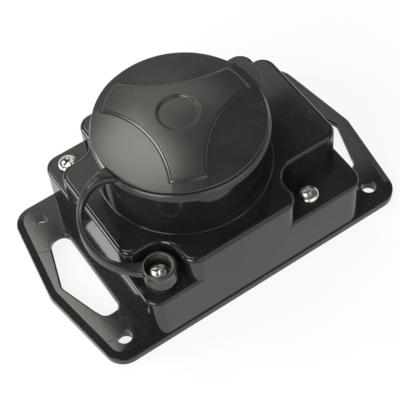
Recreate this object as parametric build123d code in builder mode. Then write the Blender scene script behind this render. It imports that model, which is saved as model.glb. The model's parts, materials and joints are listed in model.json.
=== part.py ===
"""Surface-mounted weatherproof socket with a tethered rubber cap.

Millimetres. The origin is the middle of the back face, X runs along the plate and +Z away from the wall.
"""

import os
from math import cos, pi, radians, sin, sqrt

from build123d import *

os.makedirs("parts", exist_ok=True)

# Clearances
fit_gap = 0.25
thread_gap = 0.05
cap_gap = 0.35
touch = 0.01
foot_root = 0.3

# Plate with a handle at each end
plate_length = 126.0
plate_width = 72.0
plate_thickness = 5.0
end_peak = 5.2
plate_corner_radius = 7.3
peak_radius = 8.0
plate_bevel_width = 2.6
plate_bevel_drop = 1.1
plate_edge_radius = 0.4
plate_back_radius = 1.5
wall_hole_from_end = 12.5
wall_hole_from_side = 7.9
wall_hole_diameter = 5.4

# Hand holes
handle_hole_length = 37.0
handle_hole_setback = 3.4
handle_bar_peak = 5.0
handle_bar_end = 8.2
handle_hole_radius = 3.2
handle_peak_radius = 3.0
handle_edge_radius = 0.6
handle_back_width = 2.0
handle_back_depth = 3.0
pad_radius = 6.2
pad_offset = 2.8
pad_setback = 10.0
pad_rise = 0.12

# Box
box_length = 84.4
box_side_setback = 0.5
box_height = 35.8
box_corner_radius = 5.3
box_edge_radius = 1.5
box_foot_radius = 1.6
box_wall = 2.4
box_roof = 2.8
cavity_corner_radius = 2.7

# Corner steps, square about the socket's axis
step_floor = 24.2
step_thickness = 2.8
step_bite = 8.3
end_step_depth = 15.3
step_inner_radius = 6.5
step_outer_radius = 5.0
step_edge_radius = 1.1
step_foot_radius = 1.6

# Collar
collar_diameter = 54.0
collar_wall = 2.5
collar_height = 18.2
collar_neck_wall = 1.5
collar_edge_radius = 0.6
ring_width = 2.5
ring_height = 0.6
ring_edge_radius = 0.4

# Back cover, its gasket and its posts
cover_recess = 0.4
cover_thickness = 2.4
cover_corner_radius = 3.8
cover_rim = 1.2
gasket_thickness = 1.2
post_radius = 4.3
post_insert_radius = 2.3
post_insert_length = 8.0
pedestal_setback = 4.0
pedestal_wall = 2.5
pedestal_gap = 12.0

# Screws
screw_share_of_step = 0.44
screw_shank_radius = 1.75
screw_head_radius = 3.5
screw_head_height = 2.2
screw_head_dome = 1.6
screw_grip = 2.0
small_shank_radius = 1.5
small_head_radius = 2.6
small_head_height = 1.8
small_head_dome = 0.8
cross_width = 1.0
cross_depth = 1.2

# Socket insert with its round recess
recess_diameter = 39.5
recess_depth = 17.5
recess_floor = 3.5
recess_edge_radius = 1.0
insert_drop = 0.6
insert_flange_width = 2.3
insert_flange_thickness = 4.0
seal_thickness = 1.0
pin_spacing = 19.0
pin_hole_radius = 2.8
pin_hole_chamfer = 0.8
pin_length = 19.0

# Contact base
base_setback = 2.8
base_clear_depth = 0.6
base_floor = 2.6
base_screw_spacing = 31.0
base_screw_angle = 40.0
base_screw_bite = 2.2

# Contacts
contact_sheet = 0.9
contact_gap = 4.4
contact_width = 6.0
contact_height = 13.0
terminal_length = 6.5
terminal_width = 7.0
terminal_height = 7.0
terminal_wire_radius = 1.8
terminal_setback = 5.6
terminal_bite = 3.2

# Earth bracket
earth_sheet = 1.0
earth_width = 6.0
earth_clip_room = 1.2
earth_clip_nose = 2.2
earth_clip_nose_height = 4.0
earth_slot_depth = 2.4
earth_slot_room = 0.8
earth_terminal_height = 6.0

# Cable inlet and cord clamp in the wiring room
inlet_height = 16.0
inlet_radius = 7.0
grommet_flange_radius = 8.6
grommet_flange_thickness = 1.6
grommet_nose_radius = 5.6
grommet_nose_length = 4.0
grommet_bore_radius = 4.4
grommet_membrane = 1.0
clamp_from_wall = 7.5
clamp_spacing = 18.0
clamp_bar_length = 25.0
clamp_bar_width = 7.0
clamp_bar_height = 6.0
clamp_post_radius = 3.2
clamp_post_height = 14.0
clamp_arch_radius = 4.4
clamp_screw_bite = 6.0

# Sealing cap
cap_proud = 1.0
cap_angle = 8.0
cap_overlap = 0.8
cap_rim_height = 4.4
cap_edge_radius = 0.5
cap_lip_height = 0.7
cap_groove_height = 0.6
cap_groove_depth = 0.6
cap_flare = 1.0
cap_skirt_edge = 0.8
skirt_edge_radius = 0.3
dome_rise = 3.4
field_count = 3
field_margin = 3.0
field_reach = 11.7
field_half_angle = 47.0
field_depth = 0.5
field_edge_radius = 0.4
middle_radius = 6.8
plug_wall = 2.0
plug_depth = 3.0
tab_reach = 3.8
tab_radius = 6.9
tab_thickness = 2.2
tab_edge_radius = 0.5
tab_rise = 0.2
tab_angle = 5.0

# Strap and its cup-shaped eyelet
strap_width = 1.8
strap_height = 3.8
strap_root_width = 7.0
strap_root_height = 2.4
strap_end_width = 5.4
strap_end_height = 3.0
strap_drop = 2.8
strap_lead_out = 21.0
strap_lead_in = 22.0
strap_rise_angle = 33.0
strap_arrival_angle = 149.0
strap_below_eyelet_top = 0.3
strap_corner_radius = 0.8
strap_flare_power = 4
strap_stations = 13
eyelet_radius = 5.5
eyelet_bore = 4.2
eyelet_height = 7.6
eyelet_floor = 2.4
eyelet_neck_radius = 3.7
eyelet_neck_height = 4.4

# Heights that several pieces share
collar_top = box_height + collar_height
collar_shoulder = collar_top - cap_overlap - cap_gap
roof_underside = box_height - box_roof
step_underside = step_floor - step_thickness
cover_front = cover_recess + cover_thickness
rebate_depth = cover_front + gasket_thickness
insert_top = collar_top - insert_drop
recess_bottom = insert_top - recess_depth
insert_underside = recess_bottom - recess_floor
flange_top = roof_underside - seal_thickness
flange_bottom = flange_top - insert_flange_thickness
base_top = insert_underside - fit_gap
base_bottom = recess_bottom - pin_length - base_clear_depth - base_floor
chamber_floor = base_bottom + base_floor
cap_underside = collar_top + cap_gap
cap_bottom = collar_top - cap_overlap
cap_rim_top = cap_bottom + cap_rim_height
plate_rim = plate_thickness - plate_bevel_drop
eyelet_seat = step_floor + eyelet_neck_height + eyelet_floor
eyelet_top = step_floor + eyelet_neck_height + eyelet_height
screw_tip = step_underside - post_insert_length - screw_grip
earth_strip_bottom = base_top - earth_sheet - fit_gap
clip_top = insert_top - plug_depth - earth_clip_room
base_screw_seat = base_bottom + small_head_height
clamp_seat = cover_front + clamp_post_height

# Radii and places that several pieces share
collar_radius = collar_diameter / 2
ring_radius = collar_radius + ring_width
step_inset = ring_radius - step_bite
half_length = plate_length / 2
half_width = plate_width / 2
half_box = box_length / 2
box_width = plate_width - 2 * box_side_setback
step_depth = box_width / 2 - step_inset
step_round = min(step_inner_radius, step_depth / 2)
step_nose = min(step_outer_radius, step_depth / 2)
socket_offset = end_step_depth + step_inset - half_box
wall_hole_spacing_x = plate_length - 2 * wall_hole_from_end
wall_hole_spacing_y = plate_width - 2 * wall_hole_from_side
screw_spacing = box_width - 2 * step_depth * screw_share_of_step
collar_bore = collar_radius - collar_wall
collar_neck = collar_bore + collar_neck_wall
insert_radius = collar_bore - fit_gap
insert_flange_radius = collar_bore + insert_flange_width
base_radius = insert_flange_radius - base_setback
pedestal_radius = base_radius - pedestal_setback
terminal_reach = base_radius - terminal_setback
recess_radius = recess_diameter / 2
spigot_radius = recess_radius
cap_radius = collar_radius + cap_proud
skirt_radius = cap_radius + cap_flare
groove_radius = cap_radius - cap_groove_depth
groove_top = cap_rim_top - cap_lip_height
groove_bottom = groove_top - cap_groove_height
plug_radius = recess_radius - cap_gap
plug_bottom = insert_top - plug_depth
field_radius = cap_radius - field_margin
pad_x = half_length - pad_setback
screw_places = [
    (socket_offset + side_x * screw_spacing / 2, side_y * screw_spacing / 2)
    for side_x in (-1, 1)
    for side_y in (-1, 1)
]
strap_screw_place = screw_places[0]
base_screw_places = [
    (
        socket_offset + side * base_screw_spacing / 2 * cos(radians(base_screw_angle)),
        side * base_screw_spacing / 2 * sin(radians(base_screw_angle)),
    )
    for side in (-1, 1)
]
earth_outer = recess_radius + earth_slot_depth - earth_slot_room
earth_inner = earth_outer - earth_sheet
earth_slot_length = earth_slot_depth + earth_clip_nose
earth_slot_middle = recess_radius + (earth_slot_depth - earth_clip_nose) / 2
earth_terminal_x = earth_outer - terminal_length / 2
contact_span = contact_gap + 2 * contact_sheet
terminal_places = [
    (socket_offset, terminal_reach),
    (socket_offset, -terminal_reach),
    (socket_offset + earth_terminal_x, 0),
]
clamp_x = half_box - box_wall - clamp_from_wall
clamp_places = [(clamp_x, side * clamp_spacing / 2) for side in (-1, 1)]
upright = (Align.CENTER, Align.CENTER, Align.MIN)
cap_plane = Plane(
    origin=(socket_offset, 0, 0),
    x_dir=(cos(radians(cap_angle)), sin(radians(cap_angle)), 0),
    z_dir=(0, 0, 1),
)
cap_section = Plane(origin=cap_plane.origin, x_dir=cap_plane.x_dir, z_dir=-cap_plane.y_dir)
cap_axis = Axis((socket_offset, 0, 0), (0, 0, 1))


def plate_edge_x(y):
    """Distance from the middle of the plate to its pointed end, at a distance y from the long axis."""
    return half_length - end_peak * abs(y) / half_width


def is_step_corner(vertex, inset):
    """True for the four corners where the walls of the corner steps meet."""
    off_x = abs(abs(vertex.X - socket_offset) - step_inset + inset)
    off_y = abs(abs(vertex.Y) - step_inset + inset)
    return max(off_x, off_y) < touch


def box_plan(inset, radius):
    """Plan of the whole box, moved in by an inset, with rounded corners."""
    with BuildSketch() as plan:
        RectangleRounded(box_length - 2 * inset, box_width - 2 * inset, radius)
    return plan.sketch


def block_plan(inset):
    """Plan of the box above its corner steps, moved in by an inset."""
    with BuildSketch() as plan:
        Rectangle(box_length - 2 * inset, 2 * (step_inset - inset))
        with Locations((socket_offset, 0)):
            Rectangle(2 * (step_inset - inset), box_width - 2 * inset)
        fillet([v for v in plan.vertices() if not is_step_corner(v, inset)], step_nose - inset)
        fillet([v for v in plan.vertices() if is_step_corner(v, inset)], step_round + inset)
    return plan.sketch


def plate_plan(inset):
    """Plan of the plate with its pointed ends, moved in by an inset."""
    with BuildSketch() as plan:
        with BuildLine():
            Polyline(
                (half_length, 0),
                (half_length - end_peak, half_width),
                (end_peak - half_length, half_width),
                (-half_length, 0),
                (end_peak - half_length, -half_width),
                (half_length - end_peak, -half_width),
                close=True,
            )
        make_face()
        fillet(plan.vertices().filter_by(lambda v: abs(v.Y) > half_width / 2), plate_corner_radius)
        fillet(plan.vertices().filter_by(lambda v: abs(v.Y) < half_width / 4), peak_radius)
        if inset > 0:
            offset(amount=-inset)
    return plan.sketch


def foot_fillet(plan, height, radius, limit):
    """Hollow fillet round the foot of a wall that follows a plan, kept inside a limiting plan."""
    with BuildPart() as foot:
        path = Pos(0, 0, height) * plan.face().outer_wire()
        start = path @ 0
        along = path % 0
        outward = along.cross(Vector(0, 0, 1))
        with BuildSketch(Plane(origin=start, x_dir=outward, z_dir=along)):
            with BuildLine():
                Polyline(
                    (0, radius),
                    (-foot_root, radius),
                    (-foot_root, -foot_root),
                    (radius, -foot_root),
                    (radius, 0),
                )
                RadiusArc((radius, 0), (0, radius), radius)
            make_face()
        sweep(path=path)
        with BuildSketch():
            add(limit)
        extrude(amount=height + radius + foot_root, mode=Mode.INTERSECT)
    return foot.part


# Housing: plate, box, corner steps and collar in one moulding, open at the back
with BuildPart() as housing:
    with BuildSketch():
        add(plate_plan(0.0))
    extrude(amount=plate_thickness)
    plate_top = faces().sort_by(Axis.Z)[-1]
    chamfer(plate_top.edges(), plate_bevel_width, plate_bevel_drop, reference=plate_top)
    rim_edges = edges().filter_by_position(Axis.Z, plate_rim - touch, plate_rim + touch)
    fillet(rim_edges, plate_edge_radius)

    # Hand holes
    hole_end = handle_hole_length / 2
    hole_inner = half_box + handle_hole_setback
    hole_outer = plate_edge_x(hole_end) - handle_bar_end
    hole_radius = min(handle_hole_radius, (hole_outer - hole_inner) / 2)
    with BuildSketch() as hand_holes:
        with BuildLine():
            Polyline(
                (hole_inner, -hole_end),
                (hole_outer, -hole_end),
                (half_length - handle_bar_peak, 0),
                (hole_outer, hole_end),
                (hole_inner, hole_end),
                close=True,
            )
        make_face()
        fillet(vertices().filter_by(lambda v: abs(v.Y) > hole_end / 2), hole_radius)
        fillet(vertices().filter_by(lambda v: abs(v.Y) < hole_end / 4), handle_peak_radius)
        mirror(about=Plane.YZ)
    extrude(amount=plate_thickness, mode=Mode.SUBTRACT)
    flat_faces = faces().filter_by(Axis.Z).sort_by(Axis.Z)
    fillet(flat_faces[-1].inner_wires().edges(), handle_edge_radius)
    fillet(flat_faces[0].outer_wire().edges(), plate_back_radius)
    back_face = faces().filter_by(Axis.Z).sort_by(Axis.Z)[0]
    chamfer(back_face.inner_wires().edges(), handle_back_width, handle_back_depth, reference=back_face)

    # Round flats where the handle bars run into the corners
    with BuildSketch(Plane.XY.offset(plate_rim)):
        with GridLocations(2 * pad_x, handle_hole_length + 2 * pad_offset, 2, 2):
            Circle(pad_radius)
        add(plate_plan(plate_bevel_width), mode=Mode.INTERSECT)
        add(hand_holes.sketch, mode=Mode.SUBTRACT)
    extrude(amount=plate_bevel_drop + pad_rise)

    # Box up to the corner steps, then the block between them
    with BuildSketch(Plane.XY.offset(plate_back_radius)):
        add(box_plan(0.0, box_corner_radius))
    extrude(amount=step_floor - plate_back_radius)
    fillet(faces().sort_by(Axis.Z)[-1].edges(), step_edge_radius)
    with BuildSketch(Plane.XY.offset(plate_back_radius)):
        add(block_plan(0.0))
    extrude(amount=box_height - plate_back_radius)
    fillet(faces().sort_by(Axis.Z)[-1].edges(), box_edge_radius)
    step_edge = box_plan(step_edge_radius, box_corner_radius)
    add(foot_fillet(block_plan(0.0), step_floor, step_foot_radius, step_edge))
    plate_edge = plate_plan(plate_bevel_width)
    add(foot_fillet(box_plan(0.0, box_corner_radius), plate_thickness, box_foot_radius, plate_edge))

    # Collar on its low ring
    with BuildSketch(Plane.XY.offset(box_height)):
        with Locations((socket_offset, 0)):
            Circle(ring_radius)
    extrude(amount=ring_height)
    fillet(faces().sort_by(Axis.Z)[-1].edges(), ring_edge_radius)
    with BuildSketch(Plane.XY.offset(box_height)):
        with Locations((socket_offset, 0)):
            Circle(collar_radius)
    extrude(amount=collar_shoulder - box_height)
    fillet(faces().sort_by(Axis.Z)[-1].edges(), collar_edge_radius)
    with BuildSketch(Plane.XY.offset(box_height)):
        with Locations((socket_offset, 0)):
            Circle(collar_neck)
    extrude(amount=collar_height)
    fillet(faces().sort_by(Axis.Z)[-1].edges(), collar_edge_radius)

    # Hollow inside, with a rebate for the gasket and the back cover
    with BuildSketch():
        add(box_plan(box_wall, cavity_corner_radius))
    extrude(amount=step_underside, mode=Mode.SUBTRACT)
    with BuildSketch():
        add(block_plan(box_wall))
    extrude(amount=roof_underside, mode=Mode.SUBTRACT)
    with BuildSketch():
        with Locations((socket_offset, 0)):
            Circle(collar_bore)
    extrude(amount=collar_top, mode=Mode.SUBTRACT)
    with BuildSketch():
        add(box_plan(cover_rim, cover_corner_radius))
    extrude(amount=rebate_depth, mode=Mode.SUBTRACT)

    # Holes for the wall screws, the cover screws and the cable
    with GridLocations(wall_hole_spacing_x, wall_hole_spacing_y, 2, 2):
        Cylinder(wall_hole_diameter / 2, plate_thickness, align=upright, mode=Mode.SUBTRACT)
    with Locations(*screw_places):
        Cylinder(screw_shank_radius + fit_gap, step_floor, align=upright, mode=Mode.SUBTRACT)
    with BuildSketch(Plane.YZ.offset(half_box - box_wall)):
        with Locations((0, inlet_height)):
            Circle(inlet_radius)
    extrude(amount=box_wall, mode=Mode.SUBTRACT)

housing.part.label = "housing"
export_step(housing.part, "parts/housing.step")


def pan_screw(head_radius, head_height, head_dome, shank_radius, shank_length):
    """Pan-head screw with a cross recess, standing with the underside of its head on the origin."""
    with BuildPart() as screw:
        Cylinder(head_radius, head_height, align=upright)
        fillet(screw.faces().sort_by(Axis.Z)[-1].edges(), head_dome)
        Cylinder(shank_radius, shank_length, align=(Align.CENTER, Align.CENTER, Align.MAX))
        with Locations((0, 0, head_height - cross_depth)):
            Box(head_radius, cross_width, cross_depth, align=upright, mode=Mode.SUBTRACT)
            Box(cross_width, head_radius, cross_depth, align=upright, mode=Mode.SUBTRACT)
    return screw.part


def large_screw(shank_length):
    """The size of pan-head screw that holds the back cover."""
    return pan_screw(screw_head_radius, screw_head_height, screw_head_dome, screw_shank_radius, shank_length)


def small_screw(shank_length):
    """The size of pan-head screw that is used inside the socket."""
    return pan_screw(small_head_radius, small_head_height, small_head_dome, small_shank_radius, shank_length)


# Back cover with screw posts, a pedestal under the contact base and two posts for the cord clamp
with BuildPart() as back_cover:
    with BuildSketch(Plane.XY.offset(cover_front)):
        with Locations(*screw_places):
            Circle(post_radius)
        add(box_plan(box_wall + fit_gap, cavity_corner_radius), mode=Mode.INTERSECT)
    extrude(amount=step_underside - cover_front)
    with BuildSketch(Plane.XY.offset(cover_recess)):
        add(box_plan(cover_rim + fit_gap, cover_corner_radius))
    extrude(amount=cover_thickness)
    with BuildSketch(Plane.XY.offset(cover_front)):
        with Locations((socket_offset, 0)):
            Circle(pedestal_radius)
            Circle(pedestal_radius - pedestal_wall, mode=Mode.SUBTRACT)
        with Locations((socket_offset + pedestal_radius, 0)):
            Rectangle(2 * pedestal_radius - 2 * pedestal_wall, pedestal_gap, mode=Mode.SUBTRACT)
    extrude(amount=base_bottom - cover_front)
    with Locations(*[(x, y, cover_front) for x, y in clamp_places]):
        Cylinder(clamp_post_radius, clamp_post_height, align=upright)
    with Locations(*[(x, y, step_underside - post_insert_length) for x, y in screw_places]):
        Cylinder(post_insert_radius + thread_gap, post_insert_length, align=upright, mode=Mode.SUBTRACT)
    with Locations(*[(x, y, screw_tip - fit_gap) for x, y in screw_places]):
        Cylinder(screw_shank_radius + fit_gap, step_underside - screw_tip, align=upright, mode=Mode.SUBTRACT)
    with Locations(*[(x, y, clamp_seat - clamp_screw_bite) for x, y in clamp_places]):
        Cylinder(small_shank_radius + thread_gap, clamp_screw_bite, align=upright, mode=Mode.SUBTRACT)

back_cover.part.label = "back_cover"
export_step(back_cover.part, "parts/back_cover.step")

# Flat gasket between the back cover and the housing
with BuildPart() as back_gasket:
    with BuildSketch(Plane.XY.offset(cover_front)):
        add(box_plan(cover_rim + fit_gap, cover_corner_radius))
        add(box_plan(box_wall, cavity_corner_radius), mode=Mode.SUBTRACT)
    extrude(amount=gasket_thickness)

back_gasket.part.label = "back_gasket"
export_step(back_gasket.part, "parts/back_gasket.step")

# Threaded inserts in the screw posts
with BuildPart() as post_inserts:
    with BuildSketch(Plane.XY.offset(step_underside - post_insert_length)):
        with Locations(*screw_places):
            Circle(post_insert_radius)
            Circle(screw_shank_radius + thread_gap, mode=Mode.SUBTRACT)
    extrude(amount=post_insert_length)

post_inserts.part.label = "post_inserts"
export_step(post_inserts.part, "parts/post_inserts.step")

# Cover screws, and the longer one that also holds the strap
with BuildPart() as cover_screws:
    with Locations(*[(x, y, step_floor) for x, y in screw_places if (x, y) != strap_screw_place]):
        add(large_screw(step_floor - screw_tip))

cover_screws.part.label = "cover_screws"
export_step(cover_screws.part, "parts/cover_screws.step")

with BuildPart() as strap_screw:
    with Locations((*strap_screw_place, eyelet_seat)):
        add(large_screw(eyelet_seat - screw_tip))

strap_screw.part.label = "strap_screw"
export_step(strap_screw.part, "parts/strap_screw.step")

# Socket insert: flange under the roof, sleeve in the collar, round recess with pin holes and earth slots
with BuildPart() as socket_insert:
    with BuildSketch(Plane.XY.offset(flange_bottom)):
        with Locations((socket_offset, 0)):
            Circle(insert_flange_radius)
    extrude(amount=insert_flange_thickness)
    with BuildSketch(Plane.XY.offset(flange_bottom)):
        with Locations((socket_offset, 0)):
            Circle(insert_radius)
    extrude(amount=insert_top - flange_bottom)
    with BuildSketch(Plane.XY.offset(recess_bottom)):
        with Locations((socket_offset, 0)):
            Circle(recess_radius)
    extrude(amount=recess_depth, mode=Mode.SUBTRACT)
    fillet(faces().sort_by(Axis.Z)[-1].inner_wires()[0].edges(), recess_edge_radius)
    with BuildSketch(Plane.XY.offset(flange_bottom)):
        with Locations((socket_offset, 0)):
            Circle(spigot_radius + fit_gap)
    extrude(amount=insert_underside - flange_bottom, mode=Mode.SUBTRACT)
    with BuildSketch(Plane.XY.offset(insert_underside)):
        with Locations((socket_offset, 0)):
            with GridLocations(0, pin_spacing, 1, 2):
                Circle(pin_hole_radius)
    extrude(amount=recess_floor, mode=Mode.SUBTRACT)
    pin_rims = edges().filter_by(GeomType.CIRCLE).filter_by(lambda e: abs(e.radius - pin_hole_radius) < touch)
    chamfer(pin_rims.group_by(Axis.Z)[-1], pin_hole_chamfer)
    with BuildSketch(Plane.XY.offset(flange_bottom)):
        with Locations((socket_offset, 0)):
            with GridLocations(2 * earth_slot_middle, 0, 2, 1):
                Rectangle(earth_slot_length, earth_width + 2 * fit_gap)
    extrude(amount=insert_top - flange_bottom, mode=Mode.SUBTRACT)
    with Locations(*[(x, y, insert_underside) for x, y in base_screw_places]):
        Cylinder(small_shank_radius + thread_gap, base_screw_bite, align=upright, mode=Mode.SUBTRACT)

socket_insert.part.label = "socket_insert"
export_step(socket_insert.part, "parts/socket_insert.step")

# Flat seal between the insert's flange and the roof of the box
with BuildPart() as insert_seal:
    with BuildSketch(Plane.XY.offset(flange_top)):
        with Locations((socket_offset, 0)):
            Circle(insert_flange_radius)
            Circle(insert_radius + fit_gap, mode=Mode.SUBTRACT)
    extrude(amount=seal_thickness)

insert_seal.part.label = "insert_seal"
export_step(insert_seal.part, "parts/insert_seal.step")

# Contact base with open chambers for the two contacts and the earth terminal
with BuildPart() as contact_base:
    with BuildSketch(Plane.XY.offset(base_bottom)):
        with Locations((socket_offset, 0)):
            Circle(base_radius)
    extrude(amount=flange_bottom - base_bottom)
    with BuildSketch(Plane.XY.offset(base_bottom)):
        with Locations((socket_offset, 0)):
            Circle(spigot_radius)
    extrude(amount=base_top - base_bottom)
    with BuildSketch(Plane.XY.offset(chamber_floor)):
        with Locations((socket_offset, 0)):
            with GridLocations(0, pin_spacing, 1, 2):
                Rectangle(contact_span + 2 * fit_gap, contact_width + 2 * fit_gap)
            with Locations((earth_terminal_x + base_radius / 2 - terminal_length / 2 - fit_gap, 0)):
                Rectangle(base_radius, terminal_width + 2 * fit_gap)
    extrude(amount=base_top - chamber_floor, mode=Mode.SUBTRACT)
    with BuildSketch(Plane.XY.offset(chamber_floor)):
        with Locations((socket_offset, 0)):
            for side in (-1, 1):
                with Locations((0, side * (pin_spacing / 2 + base_radius / 2))):
                    Rectangle(terminal_width + 2 * fit_gap, base_radius)
    extrude(amount=terminal_height + fit_gap, mode=Mode.SUBTRACT)
    with BuildSketch(Plane.XY.offset(earth_strip_bottom)):
        with Locations((socket_offset, 0)):
            Rectangle(2 * base_radius, earth_width + 2 * fit_gap)
    extrude(amount=base_top - earth_strip_bottom, mode=Mode.SUBTRACT)
    with Locations(*[(x, y, base_bottom) for x, y in terminal_places]):
        Cylinder(small_head_radius + fit_gap, base_floor, align=upright, mode=Mode.SUBTRACT)
    with Locations(*[(x, y, base_bottom) for x, y in base_screw_places]):
        Cylinder(small_head_radius + fit_gap, small_head_height, align=upright, mode=Mode.SUBTRACT)
        Cylinder(small_shank_radius + fit_gap, base_top - base_bottom, align=upright, mode=Mode.SUBTRACT)

contact_base.part.label = "contact_base"
export_step(contact_base.part, "parts/contact_base.step")


def pin_contact(side):
    """Brass contact: two leaves round a pin, and a tongue to a drilled terminal on that side."""
    pin_y = side * pin_spacing / 2
    with BuildPart() as contact:
        with BuildSketch(Plane.XZ.offset(-pin_y)):
            with Locations((socket_offset, chamber_floor + contact_height / 2)):
                Rectangle(contact_span, contact_height)
            with Locations((socket_offset, chamber_floor + contact_sheet + contact_height / 2)):
                Rectangle(contact_gap, contact_height, mode=Mode.SUBTRACT)
        extrude(amount=contact_width / 2, both=True)
        with BuildSketch(Plane.XY.offset(chamber_floor)):
            with Locations((socket_offset, (pin_y + side * terminal_reach) / 2)):
                Rectangle(contact_gap, terminal_reach - pin_spacing / 2)
        extrude(amount=contact_sheet)
        with BuildSketch(Plane.XY.offset(chamber_floor)):
            with Locations((socket_offset, side * terminal_reach)):
                Rectangle(terminal_width, terminal_length)
        extrude(amount=terminal_height)
        with Locations((socket_offset, side * terminal_reach, chamber_floor)):
            Cylinder(small_shank_radius + thread_gap, terminal_bite, align=upright, mode=Mode.SUBTRACT)
        wire_height = chamber_floor + terminal_height - terminal_wire_radius - contact_sheet
        with BuildSketch(Plane.XZ.offset(-side * terminal_reach)):
            with Locations((socket_offset, wire_height)):
                Circle(terminal_wire_radius)
        extrude(amount=terminal_length, both=True, mode=Mode.SUBTRACT)
    return contact.part


line_contact = pin_contact(1)
line_contact.label = "line_contact"
export_step(line_contact, "parts/line_contact.step")

neutral_contact = pin_contact(-1)
neutral_contact.label = "neutral_contact"
export_step(neutral_contact, "parts/neutral_contact.step")

# Earth bracket: strip across the base, two sprung clips in the recess and a terminal in the wiring room
with BuildPart() as earth_bracket:
    with BuildSketch(Plane(origin=(socket_offset, 0, 0), x_dir=(1, 0, 0), z_dir=(0, -1, 0))):
        with BuildLine():
            Polyline(
                (0, earth_strip_bottom),
                (earth_outer, earth_strip_bottom),
                (earth_outer, clip_top - earth_clip_nose_height),
                (earth_outer - earth_clip_nose, clip_top - earth_clip_nose_height / 2),
                (earth_outer, clip_top),
                (earth_inner, clip_top),
                (earth_inner - earth_clip_nose, clip_top - earth_clip_nose_height / 2),
                (earth_inner, clip_top - earth_clip_nose_height),
                (earth_inner, earth_strip_bottom + earth_sheet),
                (0, earth_strip_bottom + earth_sheet),
                close=True,
            )
        make_face()
        mirror(about=Plane.YZ)
    extrude(amount=earth_width / 2, both=True)
    with BuildSketch(Plane.XY.offset(chamber_floor)):
        with Locations((socket_offset + earth_outer - earth_sheet / 2, 0)):
            Rectangle(earth_sheet, earth_width)
    extrude(amount=earth_strip_bottom - chamber_floor)
    with BuildSketch(Plane.XY.offset(chamber_floor)):
        with Locations((socket_offset + earth_terminal_x, 0)):
            Rectangle(terminal_length, terminal_width)
    extrude(amount=earth_terminal_height)
    with Locations((socket_offset + earth_terminal_x, 0, chamber_floor)):
        Cylinder(small_shank_radius + thread_gap, terminal_bite, align=upright, mode=Mode.SUBTRACT)

earth_bracket.part.label = "earth_bracket"
export_step(earth_bracket.part, "parts/earth_bracket.step")

# Terminal screws and base screws, driven from the back
with BuildPart() as terminal_screws:
    with Locations(*[Location((x, y, chamber_floor), (180, 0, 0)) for x, y in terminal_places]):
        add(small_screw(terminal_bite))

terminal_screws.part.label = "terminal_screws"
export_step(terminal_screws.part, "parts/terminal_screws.step")

with BuildPart() as base_screws:
    with Locations(*[Location((x, y, base_screw_seat), (180, 0, 0)) for x, y in base_screw_places]):
        add(small_screw(insert_underside + base_screw_bite - thread_gap - base_screw_seat))

base_screws.part.label = "base_screws"
export_step(base_screws.part, "parts/base_screws.step")

# Cable grommet with a closed nose, set in the end wall
with BuildPart() as cable_grommet:
    with BuildSketch(Plane.XZ):
        with BuildLine():
            Polyline(
                (half_box - box_wall - grommet_flange_thickness, inlet_height + grommet_bore_radius),
                (half_box - box_wall - grommet_flange_thickness, inlet_height + grommet_flange_radius),
                (half_box - box_wall, inlet_height + grommet_flange_radius),
                (half_box - box_wall, inlet_height + inlet_radius - fit_gap),
                (half_box, inlet_height + inlet_radius - fit_gap),
                (half_box, inlet_height + grommet_flange_radius),
                (half_box + grommet_flange_thickness, inlet_height + grommet_flange_radius),
                (half_box + grommet_nose_length, inlet_height + grommet_nose_radius),
                (half_box + grommet_nose_length, inlet_height),
                (half_box + grommet_nose_length - grommet_membrane, inlet_height),
                (half_box + grommet_nose_length - grommet_membrane, inlet_height + grommet_bore_radius),
                close=True,
            )
        make_face()
    revolve(axis=Axis((0, 0, inlet_height), (1, 0, 0)))

cable_grommet.part.label = "cable_grommet"
export_step(cable_grommet.part, "parts/cable_grommet.step")

# Cord clamp: arched bar on its two posts
with BuildPart() as cord_clamp:
    with BuildSketch(Plane.XY.offset(clamp_seat)):
        with Locations((clamp_x, 0)):
            RectangleRounded(clamp_bar_width, clamp_bar_length, clamp_bar_width / 2 - fit_gap)
    extrude(amount=clamp_bar_height)
    with BuildSketch(Plane.YZ.offset(clamp_x)):
        with Locations((0, inlet_height)):
            Circle(clamp_arch_radius)
    extrude(amount=clamp_bar_width, both=True, mode=Mode.SUBTRACT)
    with Locations(*[(x, y, clamp_seat) for x, y in clamp_places]):
        Cylinder(small_shank_radius + fit_gap, clamp_bar_height, align=upright, mode=Mode.SUBTRACT)

cord_clamp.part.label = "cord_clamp"
export_step(cord_clamp.part, "parts/cord_clamp.step")

with BuildPart() as clamp_screws:
    with Locations(*[(x, y, clamp_seat + clamp_bar_height) for x, y in clamp_places]):
        add(small_screw(clamp_bar_height + clamp_screw_bite - fit_gap))

clamp_screws.part.label = "clamp_screws"
export_step(clamp_screws.part, "parts/clamp_screws.step")


def dome_line(rise):
    """Ends and middle of the cap's domed top line, lifted by a rise: rim, half way and crown."""
    ball_radius = (cap_radius**2 + dome_rise**2) / (2 * dome_rise)
    middle_sag = ball_radius - sqrt(ball_radius**2 - (cap_radius / 2) ** 2)
    crown = cap_rim_top + dome_rise + rise
    return (cap_radius, crown - dome_rise), (cap_radius / 2, crown - middle_sag), (0, crown)


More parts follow.
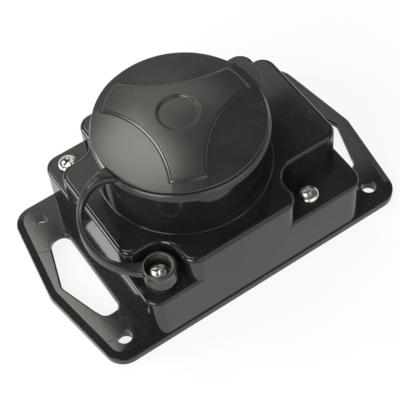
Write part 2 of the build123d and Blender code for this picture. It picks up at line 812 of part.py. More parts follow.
# Raised field on the cap: a disc cut by three lenses and by the sunk middle
with BuildPart() as raised_field:
    tip_along = field_radius * cos(radians(field_half_angle))
    tip_across = field_radius * sin(radians(field_half_angle))
    lens_middle = (tip_along**2 + tip_across**2 - field_reach**2) / (2 * (tip_along - field_reach))
    with BuildSketch(cap_plane.offset(groove_top)):
        Circle(field_radius)
        with PolarLocations(lens_middle, field_count, start_angle=180 / field_count):
            Circle(lens_middle - field_reach, mode=Mode.SUBTRACT)
        Circle(middle_radius, mode=Mode.SUBTRACT)
    extrude(amount=cap_rim_height + dome_rise)
    field_rim, field_half_way, field_crown = dome_line(field_depth)
    with BuildSketch(cap_section):
        with BuildLine():
            Polyline(field_crown, (0, groove_top), (cap_radius, groove_top), field_rim)
            ThreePointArc(field_rim, field_half_way, field_crown)
        make_face()
    revolve(axis=cap_axis, mode=Mode.INTERSECT)
    fillet(faces().sort_by(Axis.Z)[-1].edges(), field_edge_radius)

# Finger tab, rounded at its edge
with BuildPart() as finger_tab:
    tab_middle = cap_radius + tab_reach - tab_radius
    tab_place = (tab_middle * cos(radians(tab_angle)), tab_middle * sin(radians(tab_angle)))
    with BuildSketch(Plane((socket_offset, 0, cap_rim_top + tab_rise - tab_thickness))):
        with Locations(tab_place):
            Circle(tab_radius)
    extrude(amount=tab_thickness)
    fillet(edges().filter_by(GeomType.CIRCLE), tab_edge_radius)

# Sealing cap: lip, groove and flared skirt round the collar's neck, with a plug ring in the recess
with BuildPart() as sealing_cap:
    rim, half_way, crown = dome_line(0.0)
    with BuildSketch(cap_section):
        with BuildLine():
            Polyline(
                crown,
                (0, cap_underside),
                (plug_radius - plug_wall, cap_underside),
                (plug_radius - plug_wall, plug_bottom),
                (plug_radius, plug_bottom),
                (plug_radius, cap_underside),
                (collar_neck + cap_gap, cap_underside),
                (collar_neck + cap_gap, cap_bottom),
                (skirt_radius, cap_bottom),
                (skirt_radius, cap_bottom + cap_skirt_edge),
                (groove_radius, groove_bottom),
                (groove_radius, groove_top),
                (cap_radius, groove_top),
                rim,
            )
            ThreePointArc(rim, half_way, crown)
        make_face()
    revolve(axis=cap_axis)
    circles = edges().filter_by(GeomType.CIRCLE)
    fillet(circles.filter_by(lambda e: abs(e.radius - skirt_radius) < touch), skirt_edge_radius)
    lip_circles = edges().filter_by(GeomType.CIRCLE).filter_by(lambda e: abs(e.radius - cap_radius) < touch)
    fillet(lip_circles.sort_by(Axis.Z)[-1], cap_edge_radius)
    add(raised_field.part)
    add(finger_tab.part)

sealing_cap.part.label = "sealing_cap"
export_step(sealing_cap.part, "parts/sealing_cap.step")

# Strap from the cap to its cup-shaped eyelet, as a loft along one free curve
strap_out = Vector(-cos(radians(cap_angle)), -sin(radians(cap_angle)), 0)
strap_in = Vector(cos(radians(strap_arrival_angle)), sin(radians(strap_arrival_angle)), 0)
strap_root = Vector(socket_offset, 0, cap_rim_top - strap_drop) + strap_out * (skirt_radius + cap_gap)
strap_lift = strap_out * cos(radians(strap_rise_angle)) + Vector(0, 0, sin(radians(strap_rise_angle)))
strap_end_middle = eyelet_top - strap_below_eyelet_top - strap_end_height / 2
strap_end = Vector(*strap_screw_place, strap_end_middle) + strap_in * ((eyelet_radius + eyelet_bore) / 2)
with BuildLine() as strap_line:
    Bezier(
        strap_root,
        strap_root + strap_lift * strap_lead_out,
        strap_end + strap_in * strap_lead_in,
        strap_end,
    )

with BuildPart() as cap_strap:
    for station in range(strap_stations):
        share = station / (strap_stations - 1)
        from_middle = 2 * share - 1
        end_width = strap_root_width if from_middle < 0 else strap_end_width
        end_height = strap_root_height if from_middle < 0 else strap_end_height
        width = strap_width + (end_width - strap_width) * abs(from_middle) ** strap_flare_power
        height = strap_height + (end_height - strap_height) * (1 - cos(pi / 2 * from_middle))
        along = strap_line.line % share
        across = along.cross(Vector(0, 0, 1))
        with BuildSketch(Plane(origin=strap_line.line @ share, x_dir=across, z_dir=along)):
            RectangleRounded(width, height, strap_corner_radius)
    loft()
    with Locations((*strap_screw_place, step_floor)):
        Cylinder(eyelet_neck_radius, eyelet_neck_height, align=upright)
    with Locations((*strap_screw_place, step_floor + eyelet_neck_height)):
        Cylinder(eyelet_radius, eyelet_height, align=upright)
    with Locations((*strap_screw_place, eyelet_seat)):
        Cylinder(eyelet_bore, eyelet_height - eyelet_floor, align=upright, mode=Mode.SUBTRACT)
    with Locations((*strap_screw_place, step_floor)):
        Cylinder(screw_shank_radius + fit_gap, eyelet_seat - step_floor, align=upright, mode=Mode.SUBTRACT)

cap_strap.part.label = "cap_strap"
export_step(cap_strap.part, "parts/cap_strap.step")
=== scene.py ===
"""Looks of a surface-mounted weatherproof socket: finishes, rubber cap, strap and eyelet, screws, studio."""

import json
import math

import bpy
import numpy as np
from mathutils import Matrix, Vector


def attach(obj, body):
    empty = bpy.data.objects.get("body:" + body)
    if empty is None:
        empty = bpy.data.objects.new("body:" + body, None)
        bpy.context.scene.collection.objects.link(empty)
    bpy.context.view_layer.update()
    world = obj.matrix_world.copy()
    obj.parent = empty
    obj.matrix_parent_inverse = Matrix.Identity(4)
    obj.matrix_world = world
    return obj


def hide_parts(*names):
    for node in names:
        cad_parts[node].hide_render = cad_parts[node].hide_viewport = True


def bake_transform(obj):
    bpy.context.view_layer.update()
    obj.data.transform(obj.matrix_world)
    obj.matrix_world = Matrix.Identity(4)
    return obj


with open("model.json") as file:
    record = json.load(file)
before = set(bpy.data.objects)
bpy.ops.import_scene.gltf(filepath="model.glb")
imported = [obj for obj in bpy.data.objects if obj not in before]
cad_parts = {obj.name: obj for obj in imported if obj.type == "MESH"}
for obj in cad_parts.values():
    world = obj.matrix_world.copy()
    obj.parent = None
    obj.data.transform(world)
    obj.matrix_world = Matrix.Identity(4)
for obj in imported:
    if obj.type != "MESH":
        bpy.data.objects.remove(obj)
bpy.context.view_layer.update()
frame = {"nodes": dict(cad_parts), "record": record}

# A millimetre in metres, and the angle in degrees past which an edge is shaded sharp
MM = 0.001
SHARP_ANGLE = 50.0

# Camera: aim point and distance in millimetres, angles in degrees, seen in a square frame
AIM_POINT = (-5.50, -7.82, 20.0)
AIM_DISTANCE = 422.8
VIEW_AZIMUTH = 28.37
VIEW_ELEVATION = 55.86
VIEW_ROLL = -6.53
LENS = 113.3
SENSOR = 36.0
SHIFT = (-0.0023, 0.0053)

# Socket axis, and strap from the cap's rim to the eyelet, in millimetres and degrees in the part's own frame.
# Widths and heights are at root, middle and end. The groove's spread, end and fade are shares of half the strap.
SOCKET_X = -5.7
STRAP_ROOT_ANGLE = 188.0
STRAP_START_RADIUS = 27.6
STRAP_START_HEIGHT = 54.8
STRAP_RISE = 33.0
STRAP_LEAD_OUT = 22.7
STRAP_LEAD_IN = 22.0
STRAP_ARRIVAL = 149.0
STRAP_END_HEIGHT = 34.4
STRAP_END_REACH = 4.55
STRAP_WIDTHS = (7.0, 1.8, 5.4)
STRAP_HEIGHTS = (2.4, 3.8, 3.0)
STRAP_FLARE = 4
STRAP_ROUNDING = 0.6
STRAP_GROOVE = 0.4
STRAP_GROOVE_SPREAD = 0.32
STRAP_GROOVE_END = 0.8
STRAP_GROOVE_FADE = 0.3
STRAP_ROWS = 97
STRAP_COLUMNS = 64

# Cap in millimetres: dome and rim, lip over a groove, flared skirt, inside and plug ring. The lip's curve has the
# points of its rounding as shares of it, inwards and down. The cap's start is a share of the rim's distance.
CAP_RADIUS = 28.0
CAP_RIM_TOP = 57.6
CAP_RISE = 3.2
CAP_LIP = 0.8
LIP_ROUND = 0.35
LIP_CURVE = ((0.62, 0.08), (0.29, 0.29), (0.08, 0.62), (0.0, 1.0))
LIP_CHAMFER = 0.1
CAP_GROOVE = 1.0
GROOVE_RADIUS = 27.0
SKIRT_TOP_RADIUS = 28.1
SKIRT_CHAMFER = 0.2
SKIRT_RADIUS = 29.0
SKIRT_BEND = (0.1, 1.1)
SKIRT_BAND = 0.8
SKIRT_EDGE = 0.25
CAP_BOTTOM = 53.2
CAP_INNER_RADIUS = 26.35
CAP_UNDERSIDE = 54.35
PLUG_RADIUS = 19.4
PLUG_INNER_RADIUS = 17.4
PLUG_BOTTOM = 50.4
PLUG_CHAMFER = 0.3
CAP_START = 0.004
UNDERSIDE_START = 0.1
CAP_ROWS = 150
CAP_COLUMNS = 360

# Raised field on the cap in millimetres and degrees, between three lenses and a sunk middle
FIELD_ANGLE = 4.3
FIELD_RADIUS = 24.7
FIELD_REACH = 12.2
FIELD_HALF_ANGLE = 46.9
FIELD_HEIGHT = 0.65
FIELD_STEP = 0.95
LENS_ANGLES = (60, 180, 300)
MIDDLE_RADIUS = 6.7
LENS_FALL = 0.55
LENS_FALL_REACH = 6.0

# Finger tab on the cap's rim in millimetres and degrees, and how it runs into rim, groove and relief
TAB_ANGLE = 5.0
TAB_MIDDLE = 24.9
TAB_RADIUS = 6.9
TAB_LIP = 2.2
TAB_SLOPE = 0.08
TAB_START = 0.1
TAB_BLEND = 1.0
TAB_ABSENT = 20.0
RIM_SOFTNESS = 0.2
TAB_GROOVE_LOSS = 0.85
RELIEF_END = 26.0
RELIEF_BLEND = 2.0

# Corner screws in millimetres and degrees: places in plan, seats, twists, head, shank and cross recess
STRAP_SCREW_PLACE = (-34.908, -29.208)
COVER_SCREW_PLACES = ((-34.908, 29.208), (23.508, -29.208), (23.508, 29.208))
STEP_FLOOR = 24.2
EYELET_SEAT = 31.0
STRAP_SCREW_TWIST = 48
COVER_SCREW_TWISTS = (20, 62, 35)
SCREW_TIP = 11.4
TIP_CHAMFER = 0.6
HEAD_RADIUS = 3.5
HEAD_HEIGHT = 2.2
HEAD_SIDE = 0.6
HEAD_POWER = 2.4
HEAD_CHAMFER = 0.1
HEAD_START = 0.02
HEAD_ROWS = 48
SCREW_COLUMNS = 128
SHANK_RADIUS = 1.75
CROSS_REACH = 2.15
CROSS_HALF_WIDTH = 0.62
CROSS_DEPTH = 1.5
CROSS_NARROWING = 0.1
CROSS_SIDE = 0.22
CROSS_TIP = 0.3
CROSS_TAPER = 0.55

# Eyelet line in millimetres: distance from the screw's axis and height, once round its wall
EYELET_LINE = (
    (2.0, 24.2), (3.7, 24.2), (3.7, 28.2), (4.9, 28.6), (5.6, 30.4), (5.3, 33.8),
    (5.45, 36.2), (4.2, 36.2), (4.1, 31.0), (2.0, 31.0),
)
EYELET_ROUND = 0.5
EYELET_ROUND_STEPS = 7
EYELET_COLUMNS = 72

# Outer side of the eyelet in millimetres: how far it is moved off the axis, and where that sets in
EYELET_OFFSET = 0.6
OFFSET_RADIUS = 4.2
OFFSET_RADIUS_BLEND = 0.8
OFFSET_HEIGHT = 28.2
OFFSET_HEIGHT_BLEND = 2.0

# Gloss and bump of the finishes: share of mirror light, and height of bumps in millimetres
PLASTIC_SPECULAR = 0.36
RUBBER_SPECULAR = 0.5
RUBBER_PEBBLE = 0.005
METAL_SCUFF = 0.012

# Studio in metres: flat floor just under the part, a bend up into the backdrop, and the strength of the world
FLOOR_RINGS = (0.4, 1.2)
FLOOR_DROP = 0.0001
BEND_START = 2.2
BEND_RADIUS = 0.5
BACKDROP_TOP = 1.1
BEND_ROWS = 13
STAGE_COLUMNS = 96
FLOOR_COLOUR = (0.86, 0.86, 0.86, 1)
FLOOR_WHITE = 0.85
WORLD_LIGHT = 0.14

# Soft oblong lamps: place and aim point in metres, size in metres and power in watts
LAMP_TINT = (1.0, 0.975, 0.91)
LAMPS = {
    "rear ceiling panel": ((0.265, 0.654, 0.65), (0.265, 0.654, 0.0), (0.37, 0.49), 0.95),
    "ceiling lamp": ((-0.045, 0.36, 0.65), (-0.045, 0.36, 0.0), (0.21, 0.42), 2.0),
    "right ceiling panel": ((0.375, 0.368, 0.65), (0.375, 0.368, 0.0), (0.08, 0.085), 0.034),
    "left panel": ((-0.75, 0.44, 0.21), (0.0, 0.0, 0.1), (0.5, 0.34), 6.5),
    "left window": ((-0.75, -0.3, 0.6), (0.0, 0.0, 0.02), (0.5, 0.5), 8.0),
    "front fill": ((0.2, -0.8, 0.6), (0.0, 0.0, 0.03), (1.0, 0.8), 4.0),
}


def turn(degrees):
    """Unit vector in the plate's plane at an angle from +X: its cosine, its sine and nought."""
    return np.array([math.cos(math.radians(degrees)), math.sin(math.radians(degrees)), 0.0])


def unit(vectors):
    """Each row divided by its own length."""
    return vectors / np.linalg.norm(vectors, axis=1, keepdims=True)


def rounded_line(corners, reach, steps):
    """Closed line with each corner replaced by a parabola that leaves and joins its two sides at a reach."""
    corner = np.array(corners, float)
    before = corner + reach * unit(np.roll(corner, 1, 0) - corner)
    after = corner + reach * unit(np.roll(corner, -1, 0) - corner)
    share = np.linspace(0, 1, steps)[None, :, None]
    towards = (1 - share) ** 2 * before[:, None] + 2 * share * (1 - share) * corner[:, None]
    return (towards + share**2 * after[:, None]).reshape(-1, 2)


def turned(radius, height, place, columns):
    """Points of a line turned about an upright axis: radius times cosine and sine of each angle, and height."""
    angle = np.linspace(0, 2 * math.pi, columns, endpoint=False)[None, :]
    x = place[0] + radius[:, None] * np.cos(angle)
    y = place[1] + radius[:, None] * np.sin(angle)
    return np.stack([x, y, np.broadcast_to(height[:, None], x.shape)], -1)


def grid_faces(rows, columns, looped):
    """Quads of a grid whose columns close round, and whose rows close too where it is looped."""
    row = np.arange(rows if looped else rows - 1)[:, None]
    column = np.arange(columns)[None, :]
    below = (row + 1) % rows * columns
    beside = (column + 1) % columns
    here = row * columns
    corners = np.broadcast_arrays(here + column, here + beside, below + beside, below + column)
    return np.stack(corners, -1).reshape(-1, 4)


def closed_surface(grid, looped):
    """Points and faces of a grid as a closed skin: a loop, or one with a point fan at its first and last row.

    The faces are turned over where the volume, the sum of a . (b x c) over their triangles, comes out negative.
    """
    rows, columns, _ = grid.shape
    points = grid.reshape(-1, 3)
    faces = grid_faces(rows, columns, looped).tolist()
    if not looped:
        column = np.arange(columns)
        beside = (column + 1) % columns
        last = (rows - 1) * columns
        first_fan = np.stack([beside, column, np.full(columns, len(points))], -1)
        last_fan = np.stack([last + column, last + beside, np.full(columns, len(points) + 1)], -1)
        faces = faces + first_fan.tolist() + last_fan.tolist()
        points = np.concatenate([points, grid[0].mean(0)[None], grid[-1].mean(0)[None]])
    first, second, third, fourth = points[np.array([[*face[:3], face[-1]] for face in faces]).T]
    if np.sum(first * (np.cross(second, third) + np.cross(third, fourth))) < 0:
        faces = [face[::-1] for face in faces]
    return points, faces


def add_piece(name, surfaces, slot, nodes):
    """One mesh of some closed surfaces, in millimetres, that stands for CAD nodes and takes a slot's finish."""
    points, faces, count = [], [], 0
    for surface_points, surface_faces in surfaces:
        points.append(surface_points)
        faces += [[index + count for index in face] for face in surface_faces]
        count += len(surface_points)
    mesh = bpy.data.meshes.new(name)
    mesh.from_pydata((np.concatenate(points) * MM).tolist(), [], faces)
    mesh.polygons.foreach_set("use_smooth", np.ones(len(faces), bool))
    mesh.set_sharp_from_angle(angle=math.radians(SHARP_ANGLE))
    mesh.materials.append(FINISHES[slot])
    piece = bpy.data.objects.new(name, mesh)
    bpy.context.collection.objects.link(piece)
    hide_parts(*nodes)
    return piece


class Shade:
    """One output of a material's nodes: arithmetic on it adds Math nodes, node() adds any other node."""

    def __init__(self, tree, output):
        self.tree = tree
        self.output = output

    def node(self, kind, settings=None, inputs=None, out=0):
        """Adds a node: its settings first, then its sockets' values or links."""
        made = self.tree.nodes.new(kind)
        for name, value in (settings or {}).items():
            setattr(made, name, value)
        for name, value in (inputs or {}).items():
            if isinstance(value, Shade):
                self.tree.links.new(value.output, made.inputs[name])
            else:
                made.inputs[name].default_value = value
        return Shade(self.tree, made.outputs[out]) if len(made.outputs) else made

    def math(self, operation, *values):
        """Adds a Math node on some values."""
        return self.node("ShaderNodeMath", {"operation": operation}, dict(enumerate(values)))

    def __add__(self, other):
        return self.math("ADD", self, other)

    def __radd__(self, other):
        return self.math("ADD", other, self)

    def __sub__(self, other):
        return self.math("SUBTRACT", self, other)

    def __rsub__(self, other):
        return self.math("SUBTRACT", other, self)

    def __mul__(self, other):
        return self.math("MULTIPLY", self, other)

    def __rmul__(self, other):
        return self.math("MULTIPLY", other, self)

    def step(self, low, high):
        """Goes smoothly from 0 at low to 1 at high."""
        return self.node(
            "ShaderNodeMapRange",
            {"interpolation_type": "SMOOTHSTEP"},
            {"Value": self, "From Min": low, "From Max": high},
        )

    def noise(self, size_mm, detail=2.0, roughness=0.5):
        """Noise about 0.5 whose patches are about size_mm across, on these coordinates in metres."""
        inputs = {"Vector": self, "Scale": 1 / (size_mm * MM), "Detail": detail, "Roughness": roughness}
        return self.node("ShaderNodeTexNoise", {}, inputs)

    def between(self, low, high):
        """Colour between two colours, by this value as the share of the second."""
        return self.node("ShaderNodeMix", {"data_type": "RGBA"}, {0: self, 6: low, 7: high}, out=2)


def new_material(name):
    """A material with an empty tree: returns it and its Object coordinates."""
    material = bpy.data.materials.new(name)
    material.use_nodes = True
    material.node_tree.nodes.clear()
    start = Shade(material.node_tree, None)
    return material, start.node("ShaderNodeTexCoord", out=3)


def finish_material(material, place, inputs, height, height_mm):
    """Adds the surface shader, with a bump of a height in millimetres."""
    bump = {"Height": height, "Distance": height_mm * MM, "Strength": 1.0}
    inputs = {**inputs, "Normal": place.node("ShaderNodeBump", {}, bump)}
    surface = place.node("ShaderNodeBsdfPrincipled", {}, inputs)
    place.node("ShaderNodeOutputMaterial", {}, {"Surface": surface})
    return material


def grey(level, warmth=0.0):
    """A near-neutral colour: a level, with red raised and blue lowered by a share."""
    return (level * (1 + warmth), level, level * (1 - warmth), 1.0)


def moulded_plastic(name, dark, light, dust, gloss, peel_mm):
    """Moulded plastic: faint flow clouds, a skin like fine orange peel, uneven gloss and a few specks of dust."""
    material, place = new_material(name)
    clouds = place.noise(size_mm=18.0, detail=3.0)
    peel = place.noise(size_mm=2.4)
    grain = place.noise(size_mm=0.4, roughness=0.6)
    specks = place.noise(size_mm=0.8, detail=1.0).step(low=0.70, high=0.78)
    moulded = clouds.step(low=0.3, high=0.7).between(dark, light)
    inputs = {
        "Base Color": (specks * 0.5).between(moulded, dust),
        "Roughness": gloss + 0.06 * (clouds - 0.5) + 0.08 * (grain - 0.5) + 0.25 * specks,
        "Specular IOR Level": PLASTIC_SPECULAR,
    }
    return finish_material(material, place, inputs, peel * 0.8 + grain * 0.2, peel_mm)


def moulded_rubber(name, dark, light, gloss):
    """Moulded rubber: a dull, slightly powdery skin with soft clouds and a fine pebble."""
    material, place = new_material(name)
    clouds = place.noise(size_mm=9.0, detail=4.0, roughness=0.6)
    powder = place.noise(size_mm=1.4, detail=5.0, roughness=0.65)
    pebble = place.noise(size_mm=0.35, roughness=0.6)
    bloom = clouds.step(low=0.35, high=0.75) * 0.6 + powder.step(low=0.4, high=0.8) * 0.4
    inputs = {
        "Base Color": bloom.between(dark, light),
        "Roughness": gloss + 0.05 * (powder - 0.5) + 0.05 * (clouds - 0.5),
        "Specular IOR Level": RUBBER_SPECULAR,
    }
    return finish_material(material, place, inputs, pebble, RUBBER_PEBBLE)


def plated_metal(name, dark, light, gloss):
    """Plated metal: bright, with soft clouds in the plating and fine scuffs."""
    material, place = new_material(name)
    clouds = place.noise(size_mm=2.0, detail=3.0)
    scuffs = place.noise(size_mm=0.25, detail=4.0, roughness=0.7)
    inputs = {
        "Base Color": clouds.step(low=0.3, high=0.7).between(dark, light),
        "Metallic": 1.0,
        "Roughness": gloss + 0.12 * (clouds - 0.5) + 0.2 * (scuffs - 0.5),
    }
    return finish_material(material, place, inputs, scuffs, METAL_SCUFF)


FINISHES = {
    "housing_plastic": moulded_plastic(
        "housing black plastic", grey(0.009, 0.05), grey(0.014, 0.05), grey(0.06), gloss=0.09, peel_mm=0.004
    ),
    "cover_plastic": moulded_plastic(
        "cover black plastic", grey(0.014, 0.03), grey(0.02, 0.03), grey(0.06), gloss=0.36, peel_mm=0.012
    ),
    "insert_plastic": moulded_plastic(
        "insert black plastic", grey(0.016, 0.02), grey(0.022, 0.02), grey(0.06), gloss=0.3, peel_mm=0.008
    ),
    "base_plastic": moulded_plastic(
        "pale base plastic", grey(0.5, 0.07), grey(0.58, 0.07), grey(0.4), gloss=0.4, peel_mm=0.008
    ),
    "cap_rubber": moulded_rubber("cap rubber", grey(0.017, 0.04), grey(0.026, 0.04), gloss=0.26),
    "seal_rubber": moulded_rubber("seal rubber", grey(0.016), grey(0.026), gloss=0.55),
    "screw_steel": plated_metal("zinc plated steel", grey(0.5, 0.02), grey(0.7, 0.02), gloss=0.24),
    "contact_brass": plated_metal("contact brass", (0.62, 0.44, 0.18, 1), (0.78, 0.6, 0.28, 1), gloss=0.28),
    "earth_brass": plated_metal("nickel plated brass", grey(0.55, 0.08), grey(0.68, 0.08), gloss=0.25),
}
for subpart in frame["record"]["subparts"]:
    node = frame["nodes"][subpart["node"]]
    node.data.materials.clear()
    node.data.materials.append(FINISHES[subpart["material_slot"]])


def strap_surface():
    """Strap: a rounded oblong with a groove along its top, carried along a cubic curve.

    The curve is the sum of four end and lead points, weighted by s and 1 - s to the third degree. The oblong is
    the line |u|^n + |v|^n = 1, with n = 2 over the rounding, stretched to a width and height that change from root
    to middle to end. The groove's depth falls by exp(-(u / spread)^2) to its sides.
    """
    share = np.linspace(0, 1, STRAP_ROWS)[:, None]
    out = turn(STRAP_ROOT_ANGLE)
    arrival = turn(STRAP_ARRIVAL)
    lift = out * math.cos(math.radians(STRAP_RISE)) + np.array([0, 0, math.sin(math.radians(STRAP_RISE))])
    root = np.array([SOCKET_X, 0, STRAP_START_HEIGHT]) + out * STRAP_START_RADIUS
    end = np.array([*STRAP_SCREW_PLACE, STRAP_END_HEIGHT]) + arrival * STRAP_END_REACH
    leads = (root + lift * STRAP_LEAD_OUT, end + arrival * STRAP_LEAD_IN)
    path = (
        (1 - share) ** 3 * root
        + 3 * share * (1 - share) ** 2 * leads[0]
        + 3 * share**2 * (1 - share) * leads[1]
        + share**3 * end
    )
    along = unit(np.gradient(path, axis=0))
    across = unit(np.cross(along, [0.0, 0.0, 1.0]))
    upward = np.cross(across, along)

    from_middle = 2 * share - 1
    at_root = from_middle < 0
    width_at_end = np.where(at_root, STRAP_WIDTHS[0], STRAP_WIDTHS[2])
    height_at_end = np.where(at_root, STRAP_HEIGHTS[0], STRAP_HEIGHTS[2])
    width = STRAP_WIDTHS[1] + (width_at_end - STRAP_WIDTHS[1]) * np.abs(from_middle) ** STRAP_FLARE
    height = STRAP_HEIGHTS[1] + (height_at_end - STRAP_HEIGHTS[1]) * (1 - np.cos(math.pi / 2 * from_middle))

    angle = np.linspace(0, 2 * math.pi, STRAP_COLUMNS, endpoint=False)[None, :]
    oblong_u = np.sign(np.cos(angle)) * np.abs(np.cos(angle)) ** STRAP_ROUNDING
    oblong_v = np.sign(np.sin(angle)) * np.abs(np.sin(angle)) ** STRAP_ROUNDING
    fade = np.clip((STRAP_GROOVE_END - np.abs(from_middle)) / STRAP_GROOVE_FADE, 0, 1)
    groove = STRAP_GROOVE * np.exp(-((oblong_u / STRAP_GROOVE_SPREAD) ** 2)) * (oblong_v > 0) * fade
    u = width / 2 * oblong_u
    v = height / 2 * oblong_v - groove
    return closed_surface(path[:, None] + u[..., None] * across[:, None] + v[..., None] * upward[:, None], False)


def soft_step(value):
    """Smooth step from 0 at 0 to 1 at 1: 3t^2 - 2t^3 of the value held between them."""
    share = np.clip(value, 0, 1)
    return share**2 * (3 - 2 * share)


def cap_relief(x, y):
    """Height added to the dome at x and y from the cap's middle.

    The field is where the least of these distances is above nought: inside the outer circle, outside the middle
    circle and outside each lens circle. It rises by a soft step. Each lens falls towards the rim, by
    1 - exp(-d / reach) at a distance d inside its edge.
    """
    from_axis = np.hypot(x, y)
    tip_along = FIELD_RADIUS * math.cos(math.radians(FIELD_HALF_ANGLE))
    lens_middle = (FIELD_RADIUS**2 - FIELD_REACH**2) / (2 * (tip_along - FIELD_REACH))
    lens_places = [lens_middle * turn(FIELD_ANGLE + lens_angle) for lens_angle in LENS_ANGLES]
    from_lens = np.min([np.hypot(x - place[0], y - place[1]) for place in lens_places], 0)
    outside_lens = from_lens - (lens_middle - FIELD_REACH)
    inside = np.minimum(np.minimum(FIELD_RADIUS - from_axis, from_axis - MIDDLE_RADIUS), outside_lens)
    fall = LENS_FALL * (1 - np.exp(np.minimum(outside_lens, 0) / LENS_FALL_REACH))
    return FIELD_HEIGHT * soft_step(inside / FIELD_STEP + 0.5) - fall


def cap_surface():
    """Sealing cap: a line from its crown over rim, skirt and plug ring, carried once round its axis.

    The rim's distance is the smooth larger one of the cap's circle a and the tab's circle b, seen from the axis:
    (a + b + sqrt((a - b)^2 + softness)) / 2. The crown line is a dome that falls with the square of the distance,
    plus the relief.
    """
    angle = np.linspace(0, 2 * math.pi, CAP_COLUMNS, endpoint=False)
    to_tab = angle - math.radians(TAB_ANGLE)
    under_root = TAB_RADIUS**2 - (TAB_MIDDLE * np.sin(to_tab)) ** 2
    tab_far = TAB_MIDDLE * np.cos(to_tab) + np.sqrt(np.maximum(under_root, 0))
    tab_edge = np.where((under_root > 0) & (np.cos(to_tab) > 0), tab_far, TAB_ABSENT)
    rim = (CAP_RADIUS + tab_edge + np.sqrt((tab_edge - CAP_RADIUS) ** 2 + RIM_SOFTNESS)) / 2
    tab = soft_step((rim - CAP_RADIUS - TAB_START) / TAB_BLEND)

    across = np.linspace(CAP_START, 1, CAP_ROWS)[:, None]
    top_radius = across * (rim - LIP_ROUND)
    x, y = top_radius * np.cos(angle), top_radius * np.sin(angle)
    on_dome = np.minimum(top_radius, CAP_RADIUS)
    dome = CAP_RIM_TOP + CAP_RISE * (1 - (on_dome / CAP_RADIUS) ** 2)
    dome = dome - TAB_SLOPE * np.maximum(top_radius - CAP_RADIUS, 0)
    top = dome + cap_relief(x, y) * (1 - tab * soft_step((top_radius - RELIEF_END) / RELIEF_BLEND))

    lip = CAP_LIP + (TAB_LIP - CAP_LIP) * tab
    edge = top[-1]
    lip_bottom = edge - lip
    groove_bottom = lip_bottom - CAP_GROOVE + TAB_GROOVE_LOSS * CAP_GROOVE * tab
    rows = [(rim - inward * LIP_ROUND, edge - down * LIP_ROUND) for inward, down in LIP_CURVE]
    rows += [
        (rim, lip_bottom + LIP_CHAMFER), (rim - LIP_CHAMFER, lip_bottom), (GROOVE_RADIUS, lip_bottom),
        (GROOVE_RADIUS, groove_bottom), (SKIRT_TOP_RADIUS - SKIRT_CHAMFER, groove_bottom),
        (SKIRT_TOP_RADIUS, groove_bottom - SKIRT_CHAMFER),
        (SKIRT_RADIUS - SKIRT_BEND[0], CAP_BOTTOM + SKIRT_BEND[1]), (SKIRT_RADIUS, CAP_BOTTOM + SKIRT_BAND),
        (SKIRT_RADIUS, CAP_BOTTOM + SKIRT_EDGE), (SKIRT_RADIUS - SKIRT_EDGE, CAP_BOTTOM),
        (CAP_INNER_RADIUS, CAP_BOTTOM), (CAP_INNER_RADIUS, CAP_UNDERSIDE), (PLUG_RADIUS, CAP_UNDERSIDE),
        (PLUG_RADIUS, PLUG_BOTTOM + PLUG_CHAMFER), (PLUG_RADIUS - PLUG_CHAMFER, PLUG_BOTTOM),
        (PLUG_INNER_RADIUS + PLUG_CHAMFER, PLUG_BOTTOM), (PLUG_INNER_RADIUS, PLUG_BOTTOM + PLUG_CHAMFER),
        (PLUG_INNER_RADIUS, CAP_UNDERSIDE), (UNDERSIDE_START, CAP_UNDERSIDE),
    ]
    radius = np.concatenate([top_radius, [np.broadcast_to(row[0], angle.shape) for row in rows]])
    height = np.concatenate([top, [np.broadcast_to(row[1], angle.shape) for row in rows]])
    grid = np.stack([SOCKET_X + radius * np.cos(angle), radius * np.sin(angle), height], -1)
    return closed_surface(grid, False)


def eyelet_surface():
    """Cup-shaped eyelet: its wall's rounded line turned about the screw's axis.

    Above the spigot the outer side is moved away from the strap by the offset, times a soft step of the radius and
    one of the height.
    """
    radius, height = rounded_line(EYELET_LINE, EYELET_ROUND, EYELET_ROUND_STEPS).T
    grid = turned(radius, height, STRAP_SCREW_PLACE, EYELET_COLUMNS)
    outside = soft_step((radius - OFFSET_RADIUS) / OFFSET_RADIUS_BLEND)
    above = soft_step((height - OFFSET_HEIGHT) / OFFSET_HEIGHT_BLEND)
    grid -= EYELET_OFFSET * (outside * above)[:, None, None] * turn(STRAP_ARRIVAL)
    return closed_surface(grid, True)


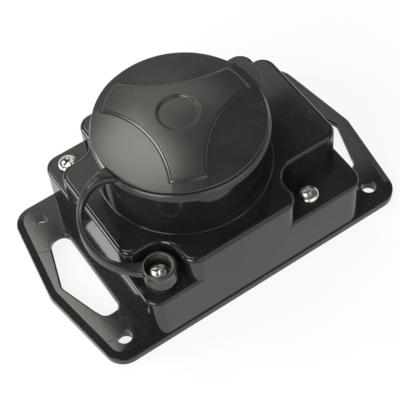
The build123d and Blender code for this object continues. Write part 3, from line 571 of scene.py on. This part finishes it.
def screw_surface(place, seat, twist):
    """Pan-head screw: a line turned about its axis, with a cross recess pressed into the head.

    The dome rises by (1 - (r / R)^n)^(1 / n), with n the head's power. With a and b the larger and smaller of |x|
    and |y|, turned by a twist, the recess is its depth times a soft step of half width - b, a soft step of
    reach - a and a taper in a.
    """
    across = np.linspace(HEAD_START, 1, HEAD_ROWS)
    dome = seat + HEAD_SIDE + (HEAD_HEIGHT - HEAD_SIDE) * (1 - across**HEAD_POWER) ** (1 / HEAD_POWER)
    under = np.array([
        (HEAD_RADIUS, seat + HEAD_CHAMFER), (HEAD_RADIUS - HEAD_CHAMFER, seat), (SHANK_RADIUS, seat),
        (SHANK_RADIUS, SCREW_TIP + TIP_CHAMFER), (SHANK_RADIUS - TIP_CHAMFER, SCREW_TIP),
    ])
    radius = np.concatenate([HEAD_RADIUS * across, under[:, 0]])
    height = np.concatenate([dome, under[:, 1]])
    grid = turned(radius, height, (0.0, 0.0), SCREW_COLUMNS)
    level = np.abs(grid[..., :2] @ np.array([turn(twist)[:2], turn(twist + 90)[:2]]).T)
    longer, shorter = level.max(-1), level.min(-1)
    side = soft_step((CROSS_HALF_WIDTH - CROSS_NARROWING * longer - shorter) / CROSS_SIDE)
    tip = soft_step((CROSS_REACH - longer) / CROSS_TIP)
    taper = 1 - CROSS_TAPER * (longer / CROSS_REACH) ** 2
    recess = CROSS_DEPTH * taper * side * tip
    in_head = (np.arange(len(radius)) < len(across))[:, None]
    grid[..., 2] -= np.where(in_head, recess, 0)
    grid[..., :2] += place
    return closed_surface(grid, False)


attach(add_piece("sealing_cap_skin", [cap_surface()], "cap_rubber", ["sealing_cap"]), "cap")
strap = add_piece("cap_strap_band", [strap_surface()], "cap_rubber", ["cap_strap"])
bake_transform(strap)
eyelet = add_piece("cap_strap_eyelet", [eyelet_surface()], "cap_rubber", ["cap_strap"])
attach(eyelet, "socket")
cover_heads = [
    screw_surface(place, STEP_FLOOR, twist) for place, twist in zip(COVER_SCREW_PLACES, COVER_SCREW_TWISTS)
]
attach(add_piece("cover_screw_set", cover_heads, "screw_steel", ["cover_screws"]), "socket")
strap_head = screw_surface(STRAP_SCREW_PLACE, EYELET_SEAT, STRAP_SCREW_TWIST)
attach(add_piece("strap_screw_turned", [strap_head], "screw_steel", ["strap_screw"]), "socket")


def stage_material(name, colour, shown):
    """Floor and backdrop: diffuse, with a share of plain white to the camera and in reflections."""
    material, place = new_material(name)
    matte = place.node("ShaderNodeBsdfDiffuse", {}, {"Color": colour})
    white = place.node("ShaderNodeEmission", {}, {"Color": (1, 1, 1, 1), "Strength": 1.0})
    camera_ray = place.node("ShaderNodeLightPath", out="Is Camera Ray")
    glossy_ray = place.node("ShaderNodeLightPath", out="Is Glossy Ray")
    clear_ray = place.node("ShaderNodeLightPath", out="Is Transmission Ray")
    seen = camera_ray.math("MAXIMUM", camera_ray, glossy_ray.math("MAXIMUM", glossy_ray, clear_ray))
    mixed = place.node("ShaderNodeMixShader", {}, {0: seen * shown, 1: matte, 2: white})
    place.node("ShaderNodeOutputMaterial", {}, {"Surface": mixed})
    return material


def build_stage():
    """White floor that curves up into a low round backdrop, and a dim world above it."""
    bend = np.linspace(0, math.pi / 2, BEND_ROWS)
    radius = np.concatenate([FLOOR_RINGS, BEND_START + BEND_RADIUS * np.sin(bend), [BEND_START + BEND_RADIUS]])
    flat = np.zeros(len(FLOOR_RINGS))
    height = np.concatenate([flat, BEND_RADIUS - BEND_RADIUS * np.cos(bend), [BACKDROP_TOP]]) - FLOOR_DROP
    grid = turned(radius, height, (0.0, 0.0), STAGE_COLUMNS)
    sides = grid_faces(len(radius), STAGE_COLUMNS, False)[:, ::-1].tolist()
    faces = sides + [list(range(STAGE_COLUMNS))]
    mesh = bpy.data.meshes.new("floor")
    mesh.from_pydata(grid.reshape(-1, 3).tolist(), [], faces)
    mesh.polygons.foreach_set("use_smooth", np.ones(len(faces), bool))
    floor = bpy.data.objects.new("floor", mesh)
    bpy.context.collection.objects.link(floor)
    mesh.materials.append(stage_material("white floor", FLOOR_COLOUR, FLOOR_WHITE))

    world = bpy.data.worlds.new("studio")
    bpy.context.scene.world = world
    world.use_nodes = True
    world.node_tree.nodes.clear()
    start = Shade(world.node_tree, None)
    light = start.node("ShaderNodeBackground", {}, {"Color": (1, 1, 1, 1), "Strength": WORLD_LIGHT})
    start.node("ShaderNodeOutputWorld", {}, {"Surface": light})


def add_lamp(name, place, aim, size, power):
    """Oblong soft lamp at a place, in metres, turned to an aim point."""
    data = bpy.data.lights.new(name, "AREA")
    data.shape = "RECTANGLE"
    data.size, data.size_y = size
    data.energy = power
    data.color = LAMP_TINT
    lamp = bpy.data.objects.new(name, data)
    bpy.context.collection.objects.link(lamp)
    lamp.location = place
    lamp.rotation_euler = (Vector(aim) - Vector(place)).to_track_quat("-Z", "Y").to_euler()


def build_camera():
    """Camera on a ball round the aim point, turned about its own axis by the roll."""
    azimuth, elevation, roll = (math.radians(a) for a in (VIEW_AZIMUTH, VIEW_ELEVATION, VIEW_ROLL))
    ahead = Vector((
        math.sin(azimuth) * math.cos(elevation),
        math.cos(azimuth) * math.cos(elevation),
        -math.sin(elevation),
    ))
    level = ahead.cross(Vector((0, 0, 1))).normalized()
    upward = level.cross(ahead)
    right = level * math.cos(roll) + upward * math.sin(roll)
    up = upward * math.cos(roll) - level * math.sin(roll)
    data = bpy.data.cameras.new("camera")
    data.sensor_width = SENSOR
    data.lens = LENS
    data.shift_x, data.shift_y = SHIFT
    camera = bpy.data.objects.new("camera", data)
    bpy.context.collection.objects.link(camera)
    turned_to = Matrix((right, up, -ahead)).transposed().to_4x4()
    turned_to.translation = (Vector(AIM_POINT) - ahead * AIM_DISTANCE) * MM
    camera.matrix_world = turned_to
    bpy.context.scene.camera = camera


build_stage()
build_camera()
for lamp_name, lamp_settings in LAMPS.items():
    add_lamp(lamp_name, *lamp_settings)

bpy.context.scene.view_settings.view_transform = "Standard"
